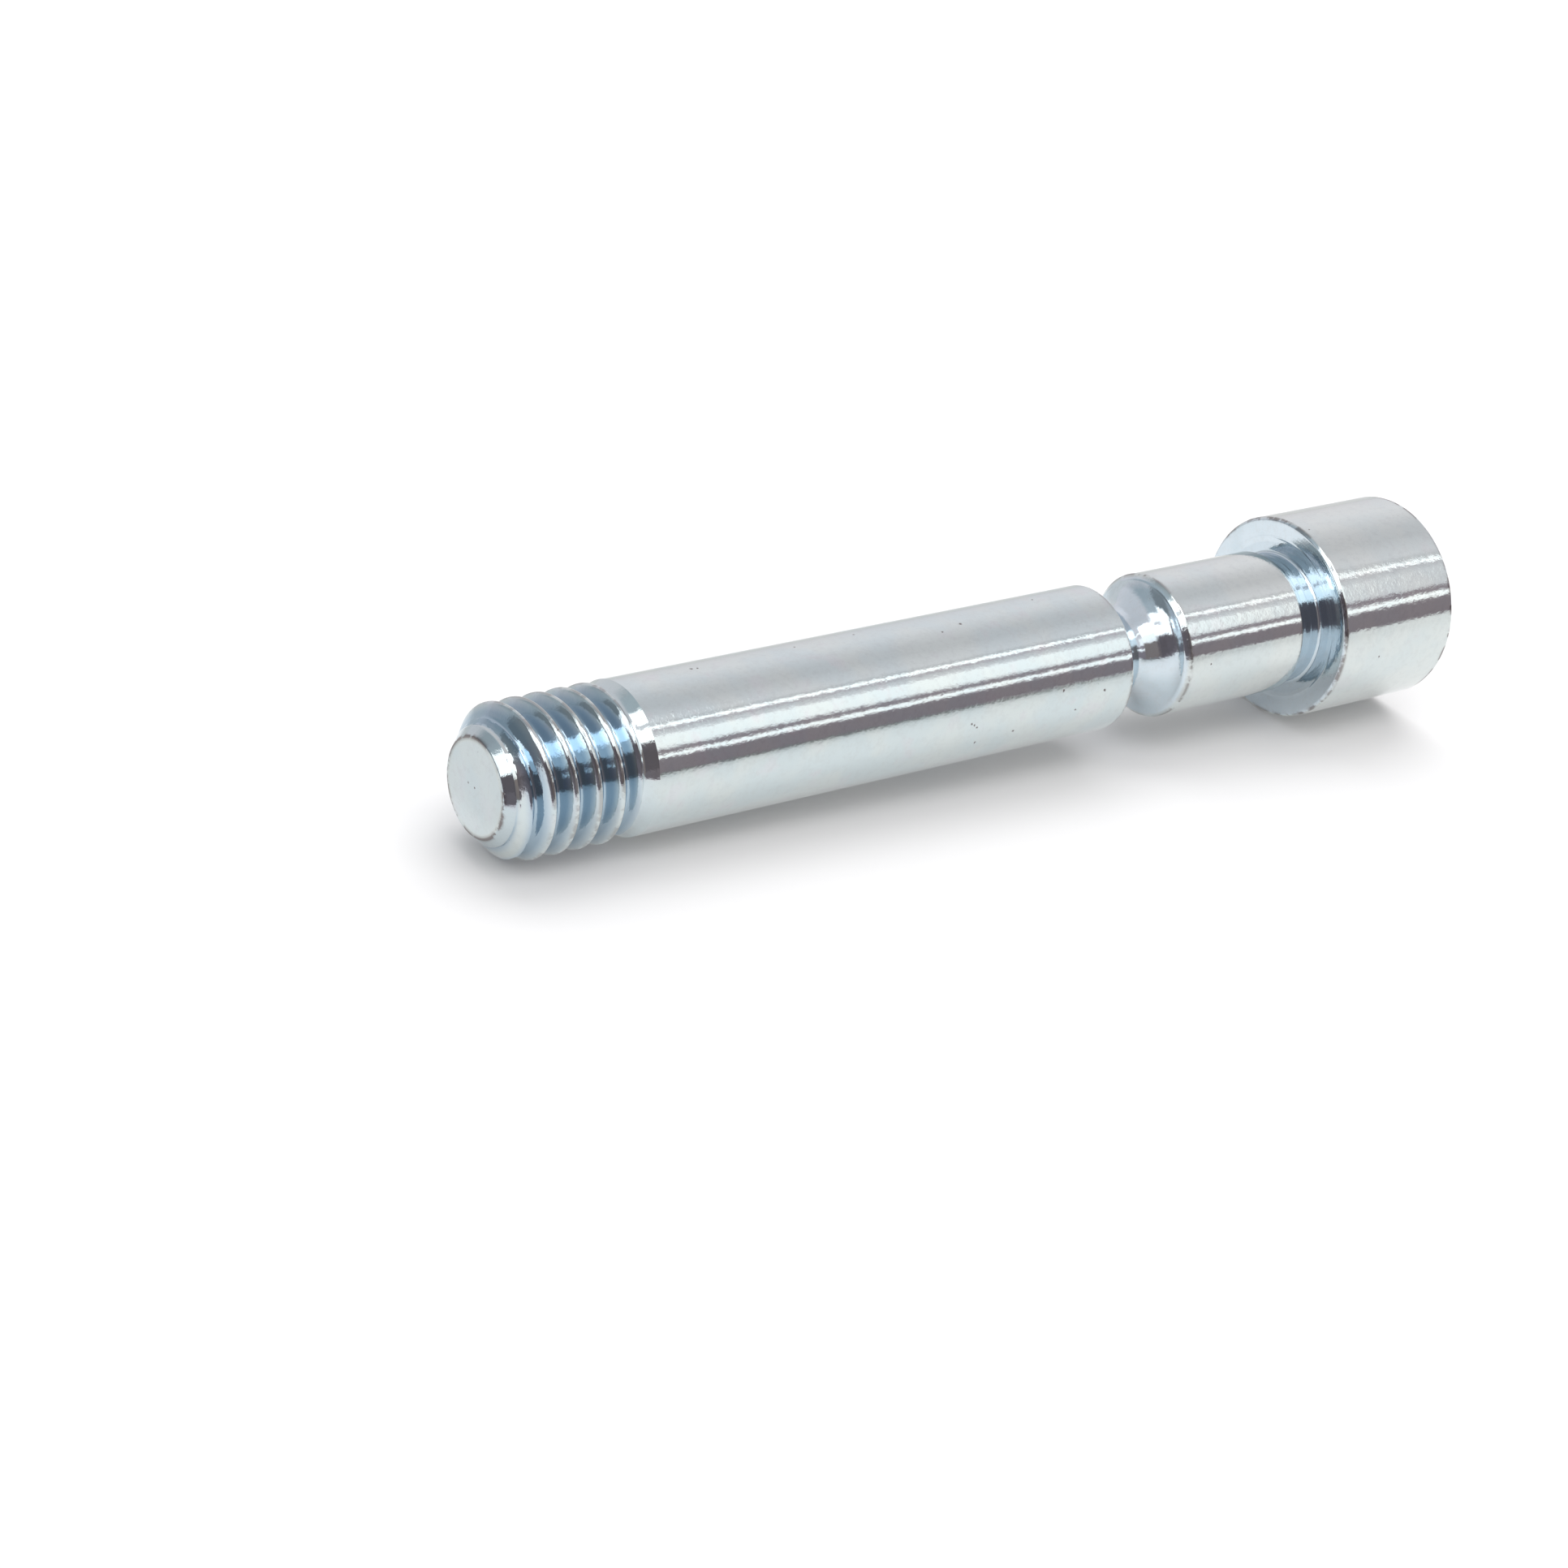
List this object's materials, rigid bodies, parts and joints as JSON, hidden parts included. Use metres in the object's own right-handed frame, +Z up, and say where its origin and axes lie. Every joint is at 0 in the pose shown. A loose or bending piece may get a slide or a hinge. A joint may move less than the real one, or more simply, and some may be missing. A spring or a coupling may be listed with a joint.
{
  "type": "captive panel screw",
  "caption": "Socket-head captive screw: a long plain shank with a short threaded end, a retaining groove and a relief neck under a cylindrical head.",
  "frame": {"origin": "centre of the footprint of the screw lying on its side, on the floor that the rear rim of its head and the start of its thread touch", "axes": "+X along the screw from its tip to its head, seen from above; the axis rises 1.9 degrees towards the head; +Z up"},
  "size_m": [0.0466, 0.0086, 0.0088],
  "materials": {
    "screw": "fine turned steel with a passivated, slightly blue surface, small brown corrosion specks on edges and in patches"
  },
  "bodies": {
    "root": {"screw": "screw"}
  },
  "joints": []
}
